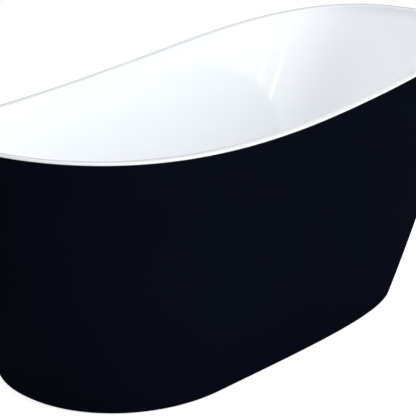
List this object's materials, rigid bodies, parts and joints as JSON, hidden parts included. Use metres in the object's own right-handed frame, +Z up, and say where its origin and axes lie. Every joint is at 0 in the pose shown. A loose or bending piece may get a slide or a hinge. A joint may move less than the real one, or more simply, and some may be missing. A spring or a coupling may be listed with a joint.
{
  "type": "freestanding bathtub",
  "caption": "Oval single-slipper freestanding bathtub: white basin with a thin rim over a seamless dark skirt, on levelling feet, with a push-button waste and an overflow.",
  "frame": {"origin": "on the ground, midway between the rim's ends and sides, under the soles of the levelling feet", "axes": "+X towards the high head end, +Z up, so the foot end with the waste is at -X; +Y completes the right-handed frame"},
  "size_m": [1.7, 0.76, 0.7139],
  "materials": {
    "acrylic_white": "high gloss",
    "acrylic_dark": "soft gloss, nearly black with a navy cast",
    "adhesive": "matte",
    "board": "particle board, sealed",
    "timber": "raw pine",
    "galvanised_steel": "galvanised",
    "zinc_plated": "bright zinc",
    "screw_zinc": "yellow zinc",
    "black_plastic": "moulded, fine texture",
    "rubber": "matte",
    "chrome": "polished",
    "brass": "machined",
    "white_plastic": "satin, moulded"
  },
  "bodies": {
    "tub": {"inner_tub": "acrylic_white", "outer_shell": "acrylic_dark", "rim_adhesive": "adhesive", "base_board": "board", "packing_blocks": "timber", "frame_rails": "galvanised_steel", "frame_cross_bars": "galvanised_steel", "bar_end_plates": "galvanised_steel", "rail_end_caps": "black_plastic", "frame_screws": "screw_zinc", "foot_weld_nuts": "zinc_plated", "foot_lock_nuts": "zinc_plated", "shell_base_ring": "timber", "shell_brackets": "galvanised_steel", "bracket_bolts": "zinc_plated", "bracket_screws": "screw_zinc", "waste_flange": "chrome", "waste_top_gasket": "rubber", "waste_bottom_gasket": "rubber", "click_cartridge": "brass", "waste_tee": "white_plastic", "outlet_nut": "white_plastic", "outlet_tail": "white_plastic", "overflow_trim": "chrome", "overflow_gasket": "rubber", "overflow_elbow": "white_plastic", "overflow_pipe": "white_plastic", "overflow_pipe_nuts": "white_plastic"},
    "foot_1": {"foot_pad_1": "black_plastic", "foot_sole_1": "rubber"},
    "stud_1": {"foot_stud_1": "zinc_plated"},
    "foot_2": {"foot_pad_2": "black_plastic", "foot_sole_2": "rubber"},
    "stud_2": {"foot_stud_2": "zinc_plated"},
    "foot_3": {"foot_pad_3": "black_plastic", "foot_sole_3": "rubber"},
    "stud_3": {"foot_stud_3": "zinc_plated"},
    "foot_4": {"foot_pad_4": "black_plastic", "foot_sole_4": "rubber"},
    "stud_4": {"foot_stud_4": "zinc_plated"},
    "foot_5": {"foot_pad_5": "black_plastic", "foot_sole_5": "rubber"},
    "stud_5": {"foot_stud_5": "zinc_plated"},
    "plug": {"plug_cap": "chrome", "plug_stem": "chrome", "plug_seal": "rubber"}
  },
  "joints": [
    {"name": "foot_1_lift", "type": "slide", "parent": "tub", "child": "foot_1", "axis": [0, 0, -1], "range_m": [-0.005, 0.015]},
    {"name": "foot_1_turn", "type": "hinge", "parent": "foot_1", "child": "stud_1", "pos_m": [-0.55, 0.18819, 0.05], "axis": [0, 0, -1], "range_deg": [-1031, 3088]},
    {"name": "foot_2_lift", "type": "slide", "parent": "tub", "child": "foot_2", "axis": [0, 0, -1], "range_m": [-0.005, 0.015]},
    {"name": "foot_2_turn", "type": "hinge", "parent": "foot_2", "child": "stud_2", "pos_m": [-0.55, -0.18819, 0.05], "axis": [0, 0, -1], "range_deg": [-1031, 3088]},
    {"name": "foot_3_lift", "type": "slide", "parent": "tub", "child": "foot_3", "axis": [0, 0, -1], "range_m": [-0.005, 0.015]},
    {"name": "foot_3_turn", "type": "hinge", "parent": "foot_3", "child": "stud_3", "pos_m": [0.4, 0.17417, 0.05], "axis": [0, 0, -1], "range_deg": [-1031, 3088]},
    {"name": "foot_4_lift", "type": "slide", "parent": "tub", "child": "foot_4", "axis": [0, 0, -1], "range_m": [-0.005, 0.015]},
    {"name": "foot_4_turn", "type": "hinge", "parent": "foot_4", "child": "stud_4", "pos_m": [0.4, -0.17417, 0.05], "axis": [0, 0, -1], "range_deg": [-1031, 3088]},
    {"name": "foot_5_lift", "type": "slide", "parent": "tub", "child": "foot_5", "axis": [0, 0, -1], "range_m": [-0.005, 0.015]},
    {"name": "foot_5_turn", "type": "hinge", "parent": "foot_5", "child": "stud_5", "pos_m": [-0.05, 0, 0.05], "axis": [0, 0, -1], "range_deg": [-1031, 3088]},
    {"name": "plug_lift", "type": "slide", "parent": "tub", "child": "plug", "axis": [0, 0, 1], "range_m": [0, 0.008]}
  ],
  "couplings": [
    {"joint": "foot_1_turn", "follows": "foot_1_lift", "rad_per_m": 3590.4},
    {"joint": "foot_2_turn", "follows": "foot_2_lift", "rad_per_m": 3590.4},
    {"joint": "foot_3_turn", "follows": "foot_3_lift", "rad_per_m": 3590.4},
    {"joint": "foot_4_turn", "follows": "foot_4_lift", "rad_per_m": 3590.4},
    {"joint": "foot_5_turn", "follows": "foot_5_lift", "rad_per_m": 3590.4}
  ]
}
